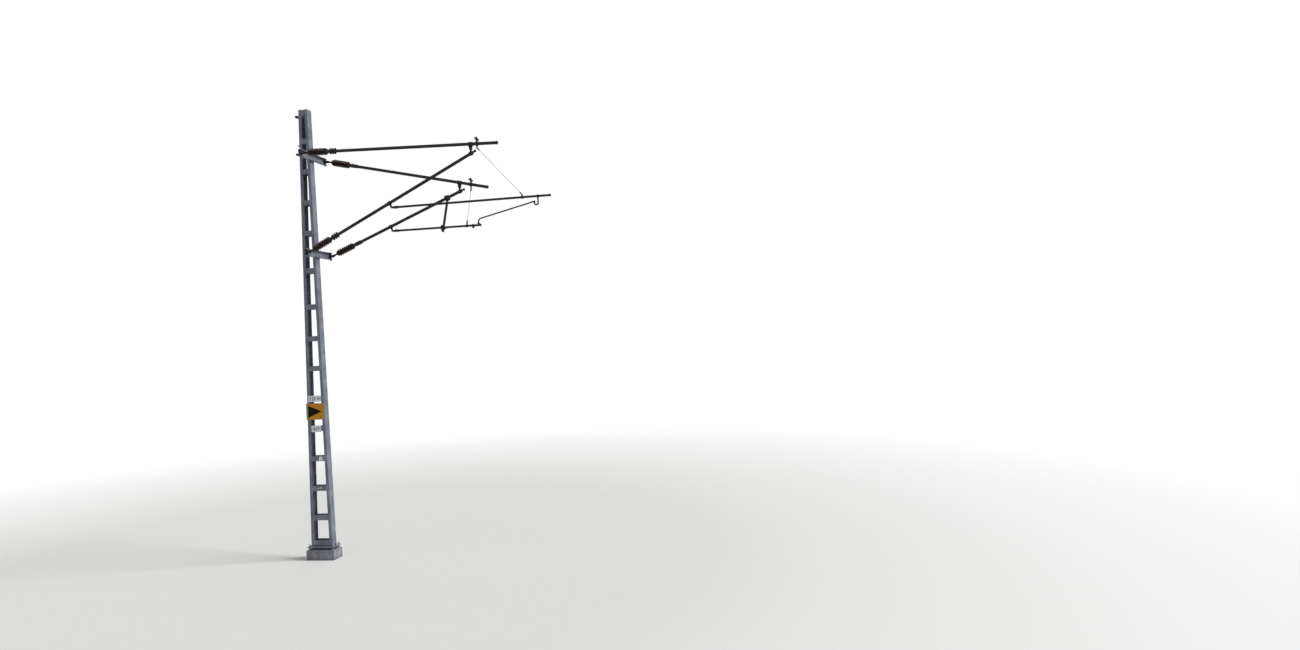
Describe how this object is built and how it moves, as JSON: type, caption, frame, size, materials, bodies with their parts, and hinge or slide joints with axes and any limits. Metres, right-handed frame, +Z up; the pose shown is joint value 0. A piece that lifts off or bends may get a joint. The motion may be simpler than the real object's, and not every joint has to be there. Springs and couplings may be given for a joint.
{
  "type": "railway catenary mast",
  "caption": "Tapered battened steel mast on a concrete foundation head, carrying hinged insulated cantilevers that hold the messenger and contact wires over a railway track.",
  "frame": {"origin": "centre of the concrete foundation's underside, at ground level", "axes": "+X across the track, the way the cantilevers reach; +Y along the track, away from the picture's camera; +Z up"},
  "size_m": [5.4899, 0.9666, 9.04],
  "materials": {
    "concrete": "rough cast",
    "galvanised_steel": "hot-dip galvanised, weathered",
    "tube_steel": "hot-dip galvanised, dark with age",
    "cast_fittings": "galvanised casting, dark",
    "fastener_steel": "galvanised",
    "stay_steel": "stranded wire",
    "porcelain": "brown glaze",
    "yellow_sign": "enamelled, faded",
    "white_sign": "enamelled"
  },
  "bodies": {
    "mast": {"foundation": "concrete", "base_plate": "galvanised_steel", "anchor_bolts": "fastener_steel", "mast_leg_field": "galvanised_steel", "mast_leg_track": "galvanised_steel", "batten_plates_near": "galvanised_steel", "batten_plates_far": "galvanised_steel", "upper_cross_arm": "galvanised_steel", "lower_cross_arm": "galvanised_steel", "hinge_pins": "fastener_steel", "arrow_plate": "yellow_sign", "distance_plate": "white_sign", "number_plate": "white_sign", "batten_tag": "white_sign", "field_wire_lugs": "galvanised_steel"},
    "cantilever_a": {"swivels_a": "cast_fittings", "eye_caps_a": "cast_fittings", "top_insulator_a": "porcelain", "diagonal_insulator_a": "porcelain", "tube_sockets_a": "cast_fittings", "top_tube_a": "tube_steel", "diagonal_tube_a": "tube_steel", "top_link_a": "cast_fittings", "diagonal_clamps_a": "cast_fittings", "registration_arm_a": "tube_steel", "messenger_clamp_a": "cast_fittings", "stay_wire_a": "stay_steel", "drop_bracket_a": "cast_fittings"},
    "cantilever_b": {"swivels_b": "cast_fittings", "eye_caps_b": "cast_fittings", "top_insulator_b": "porcelain", "diagonal_insulator_b": "porcelain", "tube_sockets_b": "cast_fittings", "top_tube_b": "tube_steel", "diagonal_tube_b": "tube_steel", "top_link_b": "cast_fittings", "diagonal_clamps_b": "cast_fittings", "registration_arm_b": "tube_steel", "messenger_clamp_b": "cast_fittings", "stay_wire_b": "stay_steel", "contact_clamp_b": "cast_fittings", "strut_b": "tube_steel", "strut_clamps_b": "cast_fittings"},
    "steady_arm_a": {"steady_arm_a": "tube_steel", "contact_clamp_a": "cast_fittings"}
  },
  "joints": [
    {"name": "swing_a", "type": "hinge", "parent": "mast", "child": "cantilever_a", "pos_m": [0.17541, -0.39, 6.09754], "axis": [-0.0151, 0, 0.9999], "range_deg": [-6, 6]},
    {"name": "swing_b", "type": "hinge", "parent": "mast", "child": "cantilever_b", "pos_m": [0.17541, 0.39, 6.09754], "axis": [-0.0151, 0, 0.9999], "range_deg": [-6, 6]},
    {"name": "steady_lift_a", "type": "hinge", "parent": "cantilever_a", "child": "steady_arm_a", "pos_m": [4.87065, -0.39, 6.70136], "axis": [0, 1, 0], "range_deg": [0, 12]}
  ]
}
